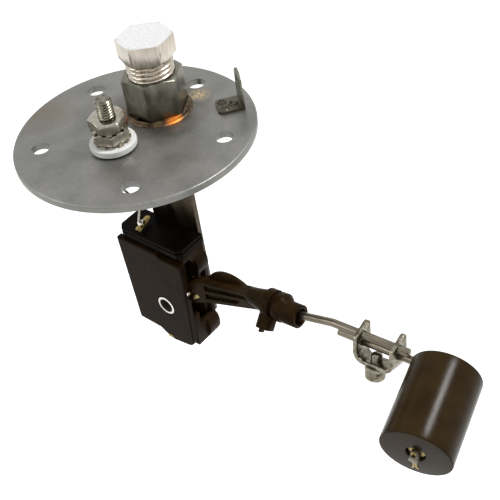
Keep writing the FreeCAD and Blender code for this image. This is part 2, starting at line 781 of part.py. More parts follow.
def make_arm():
    """Moulded lever: hub, thin link, tapering body with two recesses, collar and sleeve."""
    root = arm_root_height / 2.0
    neck = arm_neck_height / 2.0
    thigh = root * 0.8
    hub = rod_y(pivot_x, pivot_z, arm_front_y + side_gap, arm_back_y, hub_diameter / 2.0)
    link = link_plate(0, link_reach + 1.0, -thigh, thigh, arm_back_y - link_thickness, arm_back_y)
    shoulder = [along_link(link_reach, thigh), along_link(link_reach, -thigh),
                (arm_root_x + 1.5, arm_root_z - root), (arm_root_x + 0.6, arm_root_z + root)]
    body = [(arm_root_x + 0.6, arm_root_z + root), (arm_root_x - 1.4, arm_root_z - root * 0.6),
            (arm_root_x + 1.5, arm_root_z - root), (arm_neck_x, arm_neck_z - neck),
            (arm_neck_x, arm_neck_z + neck)]
    arm = hub.fuse([link, panel(shoulder, arm_front_y, arm_back_y), panel(body, arm_front_y, arm_back_y)])
    arm = arm.removeSplitter().cut(arm_groove(-1, 0.68)).cut(arm_groove(1, 0.8))
    arm = arm.fuse([make_sleeve(), make_bow()]).removeSplitter()
    arm = hole_y(arm, pivot_x, pivot_z, pivot_diameter / 2.0 + pivot_clearance)
    return arm.cut(rod_channel()).cut(wiper_tang(arm_front_y - 1, arm_back_y + 1))


def sleeve_frame(shape, turn_deg=0.0):
    """Turn a shape built along +Z from the origin onto the sleeve's axis."""
    onto = FreeCAD.Placement(V(arm_neck_x, arm_y, arm_neck_z), FreeCAD.Rotation(Z_AXIS, sleeve_heading()))
    roll = FreeCAD.Placement(V(0, 0, 0), FreeCAD.Rotation(Z_AXIS, turn_deg))
    shape.Placement = onto.multiply(roll)
    return shape


def sleeve_heading():
    return V(math.cos(sleeve_slope), 0, math.sin(sleeve_slope))


def sleeve_length():
    return math.hypot(sleeve_end_x - arm_neck_x, sleeve_end_z - arm_neck_z)


def make_sleeve():
    """Swelling neck, barrel under the tie, collar, and a mouth set a little below the rod."""
    length = sleeve_length()
    radius = sleeve_diameter / 2.0
    collar = collar_diameter / 2.0
    collar_end = collar_place + collar_width
    neck = Part.makeCone(radius * 0.7, radius, sleeve_swell, V(0, 0, 0.6 - sleeve_swell), Z_AXIS)
    barrel = rod_z(0, 0, 0.6, collar_place + 0.5, radius)
    ring = rod_z(0, 0, collar_place, collar_end, collar)
    slope = Part.makeCone(collar, radius - sleeve_offset, 1.6, V(0, 0, collar_end), Z_AXIS)
    mouth = rod_z(sleeve_offset, -sleeve_offset, collar_place + 0.5, length, radius)
    bore = rod_z(sleeve_offset, -sleeve_offset, length - sleeve_mouth_depth, length + 1, sleeve_mouth / 2.0)
    return sleeve_frame(neck.fuse([barrel, ring, slope, mouth]).cut(bore))


def make_bow():
    """Thin arched rib along the back of the lever."""
    x0 = arm_root_x + bow_start
    x2 = x0 + bow_length
    x1 = (x0 + x2) / 2.0 - 1.5
    y0 = arm_back_y - bow_thickness / 2.0

    def above(x, rise):
        centre, half = arm_edge(x)
        return V(x, y0, centre + half + rise)

    arc = Part.Arc(above(x0, -0.8), above(x1, bow_rise), above(x2, -0.8)).toShape()
    chord = Part.LineSegment(above(x2, -0.8), above(x0, -0.8)).toShape()
    return Part.Face(Part.Wire([arc, chord])).extrude(V(0, bow_thickness, 0))


def rod_route():
    """Upper rod: from the sleeve, up through one bend, out level through the clamp."""
    heading = sleeve_heading()
    start = V(arm_neck_x, arm_y, arm_neck_z) + heading * 1.5
    exit_point = V(sleeve_end_x, arm_y, sleeve_end_z) + heading * 1.2
    return [start, exit_point, V(rod_bend_x, arm_y, rod_bend_z), V(rod_end_x, arm_y, rod_end_z)]


def rod_channel():
    start, exit_point = rod_route()[:2]
    heading = (exit_point - start).normalize()
    length = (exit_point - start).Length + 3.0
    return Part.makeCylinder(rod_radius, length, start, heading)


def make_arm_rod():
    return wire_along(rod_route(), [6.0, 9.0], rod_diameter)


def float_rod_route():
    """Lower rod: beside the upper one, up behind the float, then along the float's axis."""
    tilt = V(-math.sin(rod_slope), 0, math.cos(rod_slope))
    drop = tilt * rod_pitch

    def beside(x):
        return V(x, arm_y, on_rod(x)) - drop

    back = (arm_y - float_far_y) / float_axis.y
    corner = float_far + float_axis * back
    end = float_near + float_axis * float_rod_proud
    return [beside(float_rod_start_x), beside(float_rod_rise_x), corner, end]


def make_float_rod():
    rod = wire_along(float_rod_route(), [8.0, float_bend_radius], rod_diameter)
    return rod.cut(cotter_cylinder(-rod_diameter, rod_diameter))


def cotter_down():
    """Direction across the float's near face, pointing down."""
    down = V(0, 0, -1)
    return (down - float_axis * down.dot(float_axis)).normalize()


def cotter_centre():
    return float_near + float_axis * (cotter_eye / 2.0 + float_end_gap)


def cotter_cylinder(start, end):
    """The pin's round section, between two distances below the rod's axis."""
    down = cotter_down()
    return Part.makeCylinder(cotter_diameter / 2.0, end - start, cotter_centre() + down * start, down)


def clamp_frame(shape):
    """Turn a shape built square to X, Y and Z to lie along the rods at the clamp."""
    centre = V(clamp_left_x, arm_y, on_rod(clamp_left_x))
    along = FreeCAD.Rotation(Y_AXIS, -math.degrees(rod_slope))
    turn = along.multiply(FreeCAD.Rotation(X_AXIS, clamp_turn_deg))
    shape.Placement = FreeCAD.Placement(centre, turn)
    return shape


def make_clamp():
    """U-shaped bracket, its ears sloped at the top and holed for both rods."""
    floor = -clamp_drop
    web_top = floor + clamp_sheet
    deep = 2.0 * clamp_rear_foot
    outer = block(0, clamp_length, -deep, deep, floor, deep)
    bends = [e for e in outer.Edges if e.BoundBox.YLength > deep and e.BoundBox.ZMax < floor + 1e-6]
    outer = outer.makeFillet(clamp_bend, bends)
    inner = block(clamp_sheet, clamp_length - clamp_sheet, -deep - 1, deep + 1, web_top, deep + 1)
    bends = [e for e in inner.Edges if e.BoundBox.YLength > deep and e.BoundBox.ZMax < web_top + 1e-6]
    inner = inner.makeFillet(clamp_bend - clamp_sheet, bends)
    ear = [(-clamp_front_foot, floor), (-clamp_front, clamp_front_rise), (clamp_rear, clamp_rear_rise),
           (clamp_rear_foot, -clamp_rear_drop), (clamp_rear, floor)]
    prism = Part.Face(Part.makePolygon([V(0, y, z) for y, z in ear + ear[:1]])).extrude(V(clamp_length, 0, 0))
    long_edges = [e for e in prism.Edges if e.BoundBox.XLength > clamp_length / 2.0]
    tips = [e for e in long_edges if e.BoundBox.ZMax > -clamp_drop / 2.0]
    bracket = outer.cut(inner).common(prism.makeFillet(clamp_tip_radius, tips))
    slot_radius = rod_radius + slip_clearance
    slot = block(-1, clamp_length + 1, -slot_radius, slot_radius, -rod_pitch, 0)
    for z in (0, -rod_pitch):
        slot = slot.fuse(Part.makeCylinder(slot_radius, clamp_length + 2, V(-1, 0, z), X_AXIS))
    slot.Placement = FreeCAD.Placement(V(0, 0, 0), FreeCAD.Rotation(X_AXIS, -clamp_turn_deg))
    bracket = bracket.cut(slot)
    bracket = bracket.cut(rod_z(clamp_screw_x, 0, floor - 1, web_top + 1, clamp_screw / 2.0))
    return clamp_frame(bracket)


def clamp_screw_pieces():
    """Screw up through the web to bear under the lower rod, with its lock washer."""
    floor = -clamp_drop
    radius = clamp_screw / 2.0
    turn = math.radians(clamp_turn_deg)
    under_rod = -rod_pitch * math.cos(turn) - rod_radius - abs(rod_pitch * math.sin(turn)) * 0.35 - 0.1
    head_top = floor - lock_washer_height
    head_low = head_top - clamp_screw_head_height
    shank_top = under_rod - 0.45
    point = Part.makeCone(radius, radius - 0.45, 0.45, V(clamp_screw_x, 0, shank_top), Z_AXIS)
    shank = rod_z(clamp_screw_x, 0, head_top - 0.5, shank_top, radius).fuse(point)
    head = rod_z(clamp_screw_x, 0, head_low, head_top, clamp_screw_head / 2.0)
    rim = [e for e in head.Edges if len(e.Vertexes) == 1 and e.BoundBox.ZMax < head_top - 0.5]
    head = head.makeFillet(clamp_screw_head_height * 0.4, rim)
    slot = block(clamp_screw_x - 4, clamp_screw_x + 4, -0.5, 0.5, head_low - 1, head_low + 0.9)
    screw = head.cut(slot).fuse(shank).removeSplitter()
    washer = rod_z(clamp_screw_x, 0, head_top, floor, clamp_screw_head / 2.0 + 0.2)
    washer = washer.cut(rod_z(clamp_screw_x, 0, head_top - 1, floor + 1, radius + 0.1))
    washer = washer.cut(block(clamp_screw_x + 1, clamp_screw_x + 4, -0.35, 0.35, head_top - 1, floor + 1))
    return clamp_frame(screw), clamp_frame(washer)


def make_cable_tie():
    """Band round the barrel, with its head to the lower front and a cut tail."""
    inner = sleeve_diameter / 2.0
    half = tie_width / 2.0
    head_half = tie_head / 2.0
    head_low = inner + 0.1
    head_top = head_low + tie_head_height
    band = rod_z(0, 0, tie_place - half, tie_place + half, inner + tie_thickness)
    head = block(head_low, head_top, -head_half, head_half, tie_place - head_half, tie_place + head_half)
    edges = [e for e in head.Edges if e.BoundBox.XLength > tie_head_height * 0.9]
    head = head.makeFillet(tie_head * 0.36, edges)
    tail = block(head_top - 0.5, head_top + tie_tail, -tie_tail_width / 2.0, tie_tail_width / 2.0,
                 tie_place - half, tie_place - half + tie_thickness)
    tie = band.fuse([head, tail]).removeSplitter()
    tie = tie.cut(rod_z(0, 0, tie_place - tie_head, tie_place + tie_head, inner))
    return sleeve_frame(tie, tie_turn_deg)


def make_float():
    """Closed-cell float: a round-edged cylinder, bored and counterbored for its rod."""
    body = Part.makeCylinder(float_diameter / 2.0, float_length, V(0, 0, 0), Z_AXIS)
    rims = [e for e in body.Edges if len(e.Vertexes) == 1 and e.BoundBox.ZLength < 0.5]
    body = body.makeFillet(float_edge_radius, rims)
    body = body.cut(rod_z(0, 0, -1, float_length + 1, rod_radius + float_bore_clearance))
    seat = float_length - float_counterbore_depth
    body = body.cut(rod_z(0, 0, seat, float_length + 1, float_counterbore / 2.0))
    body.Placement = FreeCAD.Placement(float_far, FreeCAD.Rotation(Z_AXIS, float_axis))
    return body


def make_retainer():
    """Push-on ring gripping the rod in the float's counterbore."""
    start = float_length - float_counterbore_depth + float_end_gap
    ring = rod_z(0, 0, start, start + 0.6, float_counterbore / 2.0 - side_gap)
    ring = ring.cut(rod_z(0, 0, start - 1, start + 2, rod_radius))
    ring.Placement = FreeCAD.Placement(float_far, FreeCAD.Rotation(Z_AXIS, float_axis))
    return ring


def make_cotter():
    """Split pin across the rod's end, its legs down past the float's bore."""
    start = -rod_radius - cotter_eye / 2.0
    eye = Part.makeSphere(cotter_eye / 2.0, cotter_centre() + cotter_down() * start)
    return cotter_cylinder(start, cotter_leg).fuse(eye).removeSplitter()


def make_wiper():
    """Spring ring on the hub's back, a leaf bent to run off the winding, and a tang in the arm."""
    y0 = arm_back_y
    y1 = winding_front_y - side_gap
    bore = pivot_diameter / 2.0 + 0.2
    root = (bore + wiper_ring / 2.0) / 2.0
    bend = boss_diameter / 2.0 + side_gap
    tip = winding_radius + winding_width / 2.0
    side = [(root, y0), (bend, y0), (winding_radius - 0.6, y1 - wiper_thickness), (tip, y1 - wiper_thickness),
            (tip, y1), (winding_radius - 0.8, y1), (bend - 0.2, y0 + wiper_thickness),
            (root, y0 + wiper_thickness)]
    outline = Part.makePolygon([V(r, y, -wiper_width / 2.0) for r, y in side + side[:1]])
    leaf = Part.Face(outline).extrude(V(0, 0, wiper_width))
    leaf.rotate(V(0, 0, 0), Y_AXIS, -(arm_rest_deg + wiper_lead_deg))
    leaf.translate(V(pivot_x, 0, pivot_z))
    ring = rod_y(pivot_x, pivot_z, y0, y0 + wiper_thickness, wiper_ring / 2.0)
    strip = link_plate(root, wiper_tang_reach + wiper_tang_length, -wiper_tang_drop - wiper_tang_height,
                       wiper_tang_height - wiper_tang_drop, y0, y0 + wiper_thickness)
    tang = wiper_tang(arm_front_y - wiper_tang_proud, y0 + wiper_thickness)
    wiper = ring.fuse([leaf, strip, tang]).removeSplitter()
    return hole_y(wiper, pivot_x, pivot_z, bore)


def export(name, shape):
    if shape.ShapeType == "Compound" and len(shape.Solids) == 1:
        shape = shape.Solids[0]
    valid = shape.isValid() and all(s.isValid() for s in shape.Solids)
    print("%-20s solids %d volume %9.2f valid %s" % (name, len(shape.Solids), shape.Volume, valid))
    shape.exportStep("parts/" + name + ".step")


def main():
    os.makedirs("parts", exist_ok=True)
    screw, lock_washer = clamp_screw_pieces()
    nodes = {
        "flange_plate": make_flange(),
        "port_coupling": make_coupling(),
        "braze_bead": make_braze(),
        "port_plug": make_plug(),
        "terminal_stud": make_stud(),
        "stud_gasket": make_gasket(),
        "upper_insulator": make_upper_insulator(),
        "lower_star_washer": make_star_washer(lower_star_z),
        "lower_nut": make_nut(lower_nut_z, 20.0),
        "upper_star_washer": make_star_washer(upper_star_z),
        "upper_nut": make_nut(upper_nut_z, 47.0),
        "under_insulator": make_under_insulator(),
        "lead_lug": make_lug(),
        "under_nut": make_nut(under_nut_z, 10.0),
        "ground_terminal": make_ground_tab(),
        "support_strap": make_strap(),
        "housing_base": make_base(),
        "housing_cover": make_cover(),
        "housing_lid": make_lid(),
        "input_terminal": make_input_terminal(),
        "lead_wire": make_lead(),
        "pivot_rivet": make_pivot(),
        "resistor_card": make_card(),
        "resistor_winding": make_winding(),
        "float_arm": make_arm(),
        "wiper_contact": make_wiper(),
        "cable_tie": make_cable_tie(),
        "arm_rod": make_arm_rod(),
        "clamp_bracket": make_clamp(),
        "clamp_screw": screw,
        "clamp_lock_washer": lock_washer,
        "float_rod": make_float_rod(),
        "float": make_float(),
        "float_retainer": make_retainer(),
        "cotter_pin": make_cotter(),
    }
    for name, shape in nodes.items():
        export(name, shape)


main()
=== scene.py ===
"""Looks of a fuel level sender: bare pressed steel flange, bright zinc fittings, black
moulded housing and arm, drawn steel rods and a satin rubber float, over a pale floor."""
import json
import math

import bmesh
import bpy
import numpy as np
from mathutils import Matrix, Vector


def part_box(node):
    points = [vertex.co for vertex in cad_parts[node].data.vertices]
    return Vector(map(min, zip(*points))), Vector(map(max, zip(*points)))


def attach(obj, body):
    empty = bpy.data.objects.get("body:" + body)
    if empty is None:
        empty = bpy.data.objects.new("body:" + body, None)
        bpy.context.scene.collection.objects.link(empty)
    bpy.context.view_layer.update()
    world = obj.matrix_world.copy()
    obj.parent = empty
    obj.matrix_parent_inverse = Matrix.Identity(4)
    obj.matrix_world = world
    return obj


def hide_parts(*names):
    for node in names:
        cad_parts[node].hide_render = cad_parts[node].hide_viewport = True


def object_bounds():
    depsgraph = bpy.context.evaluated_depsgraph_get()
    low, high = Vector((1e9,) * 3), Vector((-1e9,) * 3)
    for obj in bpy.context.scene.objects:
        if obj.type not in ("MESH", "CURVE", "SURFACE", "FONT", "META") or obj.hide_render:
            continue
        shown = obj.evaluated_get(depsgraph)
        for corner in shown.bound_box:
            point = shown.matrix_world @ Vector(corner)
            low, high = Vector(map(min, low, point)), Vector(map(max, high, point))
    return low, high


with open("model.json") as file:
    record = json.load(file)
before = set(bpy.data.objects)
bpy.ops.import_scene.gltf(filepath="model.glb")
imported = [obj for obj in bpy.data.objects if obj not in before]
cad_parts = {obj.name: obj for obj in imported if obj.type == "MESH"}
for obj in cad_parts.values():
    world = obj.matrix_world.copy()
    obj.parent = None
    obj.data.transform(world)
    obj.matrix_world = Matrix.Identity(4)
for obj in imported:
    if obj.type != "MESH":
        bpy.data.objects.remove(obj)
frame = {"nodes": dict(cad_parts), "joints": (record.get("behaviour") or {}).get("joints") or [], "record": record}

MM = 0.001
nodes = frame["nodes"]
cad_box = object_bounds()
joints = {joint["name"]: joint for joint in frame["joints"]}
body_of = {node: body for body, members in frame["record"]["behaviour"]["bodies"].items()
           for node in members}

# Camera fitted to the photograph: place, unit axes of its frame, lens and sensor width
CAMERA_PLACE = (178.72, -144.59, 149.27)
CAMERA_RIGHT = (0.77912, 0.61532, -0.11979)
CAMERA_DOWN = (0.33959, -0.57492, -0.74441)
CAMERA_FORWARD = (-0.52692, 0.53931, -0.65689)
CAMERA_LENS = 68.4
SENSOR = 36.0

# Light: strength of the surroundings as light, glow of the floor where it is seen, and
# each lamp's place, size and watts. The key stands where the float mirrors it to the camera.
SKY_LIGHT = 0.35
FLOOR_GLOW = 0.62
LAMPS = {
    "key": ((206.0, 168.0, 369.0), 70.0, 1.6),
    "fill": ((-320.0, -380.0, 300.0), 300.0, 0.9),
}
LAMP_AIM = (40.0, -5.0, -35.0)
FLOOR_GAP = 0.5
FLOOR_HALF_M = 1.5

# Fine forms that the solids leave plain. Lengths here, above and below are in millimetres.
STUD_PITCH = 0.794              # No. 10, 32 threads to the inch
STUD_THREAD_DEPTH = 0.42
PLUG_PITCH = 1.411              # taper pipe thread, 18 threads to the inch
PLUG_THREAD_DEPTH = 0.95
PLUG_TAPER = 1.0 / 32.0
PLUG_HEAD_HEIGHT = 6.2
PLUG_THREAD_SUNK = 2.2          # how far the thread shows down inside the coupling
COTTER_EYE = (106.87, -27.38, -38.85)
COTTER_LENGTH = 6.9
WRAP_MIDDLE = (-7.2, -0.6, -35.3)
EDGE_CONTACT = ((11.62, -3.7, -54.0), (0.22, 0.8, 0.6))
FOOT_CONTACT = ((-0.6, -4.9, -78.9), (1.1, 0.35, 0.55))
FLOAT_AXIS = np.array(Vector(joints["float_spin"]["axis"]).normalized())
FLOAT_FAR = np.array(Vector(joints["float_spin"]["pos_m"]) / MM)
FLOAT_RIM = 0.4
FLOAT_COUNTERBORE = 1.6
FLOAT_SIDES = 128

# Places of marks on the metal
FLANGE_TOP = 2.0
RIM_TINT = (-31.0, -8.0, FLANGE_TOP)
STRAW_SPOT = (4.9, 22.5, FLANGE_TOP)
BRAZE_DROP = (8.4, 8.3, 3.2)
EYELET_PAINTED_SHADE = 2.6               # radius, just outside the rounded bore: inside it the bore is painted dark brown as painted shade

# Reworking a solid's mesh: points nearer than this are one, faces that turn by less are one
WELD_M = 2e-6
FLAT_DEG = 0.6
BEVEL_DEG = 28.0
BEVEL_STEPS = 2
WIDE_FLAT = ("flange_plate", "housing_cover", "housing_lid")


def box_mm(node):
    low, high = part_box(node)
    return np.array(low) / MM, np.array(high) / MM


def linear(hex_colour):
    """An sRGB hex colour as linear RGBA."""
    values = [int(hex_colour[i:i + 2], 16) / 255.0 for i in (1, 3, 5)]
    return tuple(v / 12.92 if v <= 0.04045 else ((v + 0.055) / 1.055) ** 2.4
                 for v in values) + (1.0,)


# Places that the pieces share
stud_low, stud_high = box_mm("terminal_stud")
stud_centre = (stud_low + stud_high) / 2.0
coupling_low, coupling_high = box_mm("port_coupling")
port_centre = (coupling_low + coupling_high) / 2.0


# Mesh tools

def linked(name, data):
    """A new object at the origin, in the scene."""
    made = bpy.data.objects.new(name, data)
    bpy.context.scene.collection.objects.link(made)
    return made


def mesh_object(name, points, faces):
    """A mesh object from points in millimetres and lists of corner numbers."""
    mesh = bpy.data.meshes.new(name)
    mesh.from_pydata((np.asarray(points) * MM).tolist(), [], faces)
    mesh.validate()
    mesh.update()
    return linked(name, mesh)


def grid_faces(rows, columns):
    """Quads between neighbouring rows and columns of a grid of points, the last column
    joined to the first."""
    i, j = np.meshgrid(np.arange(rows - 1), np.arange(columns), indexing="ij")
    k = (j + 1) % columns
    corners = [i * columns + j, i * columns + k, (i + 1) * columns + k, (i + 1) * columns + j]
    return np.stack(corners, -1).reshape(-1, 4).tolist()


def capped_grid(grid):
    """A tube of points, rows by columns, closed at both ends by one face each."""
    rows, columns = grid.shape[:2]
    faces = grid_faces(rows, columns)
    faces.append(list(range(columns))[::-1])
    faces.append([(rows - 1) * columns + j for j in range(columns)])
    return grid.reshape(-1, 3), faces


def basis(axis):
    """Three unit vectors, the last along axis."""
    w = np.array(axis, float)
    w /= np.linalg.norm(w)
    u = np.cross((0.0, 0.0, 1.0), w)
    if np.linalg.norm(u) < 1e-3:
        u = np.cross((0.0, 1.0, 0.0), w)
    u /= np.linalg.norm(u)
    return u, np.cross(w, u), w


def revolved(profile, origin, axis, count):
    """Surface of revolution: point (radius r, height h) of the profile, turned by angle a,
    lies at origin + r cos(a) u + r sin(a) v + h w, where w is the axis."""
    u, v, w = basis(axis)
    angle = np.linspace(0.0, 2.0 * np.pi, count, endpoint=False)
    ring = np.cos(angle)[:, None] * u + np.sin(angle)[:, None] * v
    radius, height = profile[:, 0][:, None, None], profile[:, 1][:, None, None]
    return np.array(origin) + radius * ring + height * w


def swept(path, radius, sides):
    """Tube: at each point of the path a circle of the radius in the plane across the
    path, its frame carried along without twist."""
    tangent = np.gradient(path, axis=0)
    tangent /= np.linalg.norm(tangent, axis=1)[:, None]
    u = basis(tangent[0])[0]
    sides_u = []
    for t in tangent:
        u = u - t * np.dot(u, t)
        u /= np.linalg.norm(u)
        sides_u.append(u)
    sides_u = np.array(sides_u)
    sides_v = np.cross(tangent, sides_u)
    angle = np.linspace(0.0, 2.0 * np.pi, sides, endpoint=False)
    circle = (np.cos(angle)[None, :, None] * sides_u[:, None]
              + np.sin(angle)[None, :, None] * sides_v[:, None])
    return path[:, None] + radius * circle


def thread_grid(centre, low, high, crest, depth, pitch, taper=0.0, lead_in=0.6, sides=48):
    """Upright screw thread about the centre, from height low to high:
    radius = crest + taper (h - high) - depth tri(h / pitch - a / turn), where tri is a
    triangle wave from 0 to 1 with flats, gone to the thread's root over the lead-in at
    both ends."""
    rows = int((high - low) / pitch * 10) + 1
    h = np.linspace(low, high, rows)[:, None]
    a = np.linspace(0.0, 2.0 * np.pi, sides, endpoint=False)[None, :]
    phase = (h / pitch - a / (2.0 * np.pi)) % 1.0
    wave = np.clip(np.abs(phase * 2.0 - 1.0) * 1.25 - 0.125, 0.0, 1.0)
    edge = np.clip(np.minimum(h - low, high - h) / lead_in, 0.0, 1.0)
    radius = crest + taper * (h - high) - depth * (1.0 - edge * (1.0 - wave))
    x, y = centre[0] + radius * np.cos(a), centre[1] + radius * np.sin(a)
    return np.stack([x, y, np.broadcast_to(h, x.shape)], -1)


def smooth(piece, angle_deg):
    """Smooth shading except across edges sharper than the angle."""
    mesh = piece.data
    mesh.polygons.foreach_set("use_smooth", np.ones(len(mesh.polygons), bool))
    sharp = math.radians(angle_deg)
    work = bmesh.new()
    work.from_mesh(mesh)
    for edge in work.edges:
        edge.smooth = len(edge.link_faces) == 2 and edge.calc_face_angle(0.0) < sharp
    work.to_mesh(mesh)
    work.free()
    return piece


def outward(piece):
    """Welds the mesh and turns its faces outward."""
    work = bmesh.new()
    work.from_mesh(piece.data)
    bmesh.ops.remove_doubles(work, verts=work.verts, dist=1e-7)
    bmesh.ops.recalc_face_normals(work, faces=work.faces)
    work.to_mesh(piece.data)
    work.free()
    return piece


def closed_tube(name, grid, angle_deg):
    """A capped grid as a smooth mesh object."""
    return smooth(outward(mesh_object(name, *capped_grid(grid))), angle_deg)


def softened(node, width, cut_below=None):
    """A copy of a solid's mesh with its triangles merged to flat faces and its sharp edges
    rounded off by the width. What lies below the height cut_below is cut off and the cut
    closed. Wide flat pieces take the normals of their large faces, to look flat."""
    mesh = nodes[node].data.copy()
    mesh.materials.clear()
    work = bmesh.new()
    work.from_mesh(mesh)
    bmesh.ops.remove_doubles(work, verts=work.verts, dist=WELD_M)
    if cut_below is not None:
        everything = list(work.verts) + list(work.edges) + list(work.faces)
        bmesh.ops.bisect_plane(work, geom=everything, plane_co=(0.0, 0.0, cut_below * MM),
                               plane_no=(0.0, 0.0, 1.0), clear_inner=True)
        bmesh.ops.holes_fill(work, edges=[e for e in work.edges if e.is_boundary])
    bmesh.ops.dissolve_limit(work, angle_limit=math.radians(FLAT_DEG),
                             verts=work.verts, edges=work.edges)
    bmesh.ops.recalc_face_normals(work, faces=work.faces)
    work.to_mesh(mesh)
    work.free()
    mesh.polygons.foreach_set("use_smooth", np.ones(len(mesh.polygons), bool))
    piece = linked(node + "_finished", mesh)
    bevel = piece.modifiers.new("rounded edges", "BEVEL")
    bevel.width = width * MM
    bevel.segments = BEVEL_STEPS
    bevel.limit_method = "ANGLE"
    bevel.angle_limit = math.radians(BEVEL_DEG)
    bevel.harden_normals = node not in WIDE_FLAT
    if node in WIDE_FLAT:
        even = piece.modifiers.new("flat faces stay flat", "WEIGHTED_NORMAL")
        even.weight = 100
    return piece


def place(piece, body, material, *replaced):
    """Rides the piece on its body, in place of the solids named, with one material."""
    piece.data.materials.clear()
    piece.data.materials.append(material)
    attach(piece, body)
    if replaced:
        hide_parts(*replaced)
    return piece


# Material tools

def add(tree, kind, settings=None, **inputs):
    """Adds a node with its settings. An input is a value, or a socket to link from; its key
    is the input's name, or i and its place in the list."""
    node = tree.nodes.new(kind)
    for key, value in (settings or {}).items():
        setattr(node, key, value)
    for key, value in inputs.items():
        socket = node.inputs[int(key[1:]) if key[1:].isdigit() else key.replace("_", " ")]
        if isinstance(value, bpy.types.NodeSocket):
            tree.links.new(value, socket)
        else:
            socket.default_value = value
    return node


def principled(name):
    """A new material, its tree and its Principled surface."""
    made = bpy.data.materials.new(name)
    made.use_nodes = True
    tree = made.node_tree
    return made, tree, next(n for n in tree.nodes if n.type == "BSDF_PRINCIPLED")


def measured(tree, patterns):
    """A socket for each pattern, read from object coordinates. A pattern is (size, detail),
    a noise with features of about that size, or (operation, vector): DISTANCE from a point
    or DOT_PRODUCT with a direction. A third entry scales the coordinates along each axis
    first, so a small one draws the pattern out and 0 leaves the axis out."""
    metres = add(tree, "ShaderNodeTexCoord").outputs["Object"]
    where = add(tree, "ShaderNodeVectorMath", {"operation": "SCALE"},
                i0=metres, Scale=1.0 / MM).outputs[0]
    sockets = {}
    for name, (first, second, *scales) in patterns.items():
        at = where
        if scales:
            at = add(tree, "ShaderNodeVectorMath", {"operation": "MULTIPLY"},
                     i0=where, i1=scales[0]).outputs[0]
        if isinstance(first, str):
            sockets[name] = add(tree, "ShaderNodeVectorMath", {"operation": first},
                                i0=at, i1=second).outputs["Value"]
        else:
            sockets[name] = add(tree, "ShaderNodeTexNoise", None, Vector=at, Scale=1.0 / first,
                                Detail=second, Roughness=0.55).outputs["Fac"]
    return sockets


def product(tree, sockets, levels):
    """Product of levels. A level (pattern, low, high, at_low, at_high) takes the pattern's
    span low to high onto at_low to at_high, and holds it there beyond; 0 to 1 where the
    last two are left out."""
    names = ("From_Min", "From_Max", "To_Min", "To_Max")
    result = None
    for pattern, *span in levels:
        level = add(tree, "ShaderNodeMapRange", None, Value=sockets[pattern],
                    **dict(zip(names, span))).outputs[0]
        result = level if result is None else add(
            tree, "ShaderNodeMath", {"operation": "MULTIPLY"}, i0=result, i1=level).outputs[0]
    return result


def painted(tree, sockets, ground, *coats):
    """The ground colour with coats over it. A coat (paint, level, level ...) covers as far as
    the product of its levels; a paint is a hex colour, or a (ground, *coats) of its own."""
    colour = linear(ground)
    for paint, *levels in coats:
        over = linear(paint) if isinstance(paint, str) else painted(tree, sockets, *paint)
        colour = add(tree, "ShaderNodeMix", {"data_type": "RGBA"},
                     i0=product(tree, sockets, levels), i6=colour, i7=over).outputs[2]
    return colour


def finish(name, patterns, paint, roughness, bump, metallic=0.0, **constants):
    """A material: its patterns, its paint as (ground, *coats), its roughness and metallic as
    a number or a level, and its bump as (pattern, depth). What else is given goes to the
    surface's input of that name."""
    made, tree, surface = principled(name)
    sockets = measured(tree, patterns)
    tree.links.new(painted(tree, sockets, *paint), surface.inputs["Base Color"])
    for key, value in dict(constants, Roughness=roughness, Metallic=metallic).items():
        socket = surface.inputs[key.replace("_", " ")]
        if isinstance(value, tuple) and isinstance(value[0], str):
            tree.links.new(product(tree, sockets, [value]), socket)
        else:
            socket.default_value = value
    pattern, depth = bump
    relief = add(tree, "ShaderNodeBump", None, Height=sockets[pattern], Distance=depth * MM,
                 Strength=1.0)
    tree.links.new(relief.outputs[0], surface.inputs["Normal"])
    return made


# Materials. A pixel of the camera shows about 0.3 mm of the object, so the grains of plate,
# mould and rubber, finer than a tenth in truth, are drawn at 0.3 to 0.5 mm to show at all.

UP = (0.0, 0.0, 1.0)


def pressed_steel():
    """Bare cold rolled sheet: mid grey, softly mottled, brown heat tint round the coupling's
    foot and along the left rim, and a straw coloured spot behind the coupling."""
    port = (port_centre[0], port_centre[1], FLANGE_TOP)
    return finish(
        "bare pressed steel",
        {"mottling": (10.0, 5.0), "specks": (0.9, 3.0), "scorch": (4.0, 3.0),
         "from port": ("DISTANCE", port), "from rim": ("DISTANCE", RIM_TINT),
         "from straw": ("DISTANCE", STRAW_SPOT)},
        ("#797976",
         ("#8b8a86", ("mottling", 0.35, 0.65)),
         ("#5d5c56", ("specks", 0.45, 0.7, 0.0, 0.2)),
         ("#54493a", ("from port", 9.0, 17.0, 1.0, 0.0), ("scorch", 0.3, 0.6, 0.2, 0.8)),
         ("#6f5f45", ("from rim", 2.0, 12.0, 1.0, 0.0), ("mottling", 0.3, 0.6, 0.1, 0.6)),
         ("#c0ab84", ("from straw", 1.0, 4.0, 1.0, 0.0), ("specks", 0.35, 0.6))),
        ("mottling", 0.3, 0.7, 0.36, 0.50), ("specks", 0.02), metallic=0.85)


def machined_steel():
    """Drawn hexagon steel with a dull greenish grey film, browner towards its brazed foot."""
    return finish(
        "machined bar steel",
        {"drawing": (2.4, 3.0, (1.0, 1.0, 0.35)), "height": ("DOT_PRODUCT", UP)},
        ("#5d5b4f",
         ("#838477", ("drawing", 0.3, 0.7)),
         ("#3d3021", ("height", 2.5, 8.0, 0.6, 0.0))),
        ("drawing", 0.3, 0.7, 0.24, 0.36), ("drawing", 0.015), metallic=0.9)


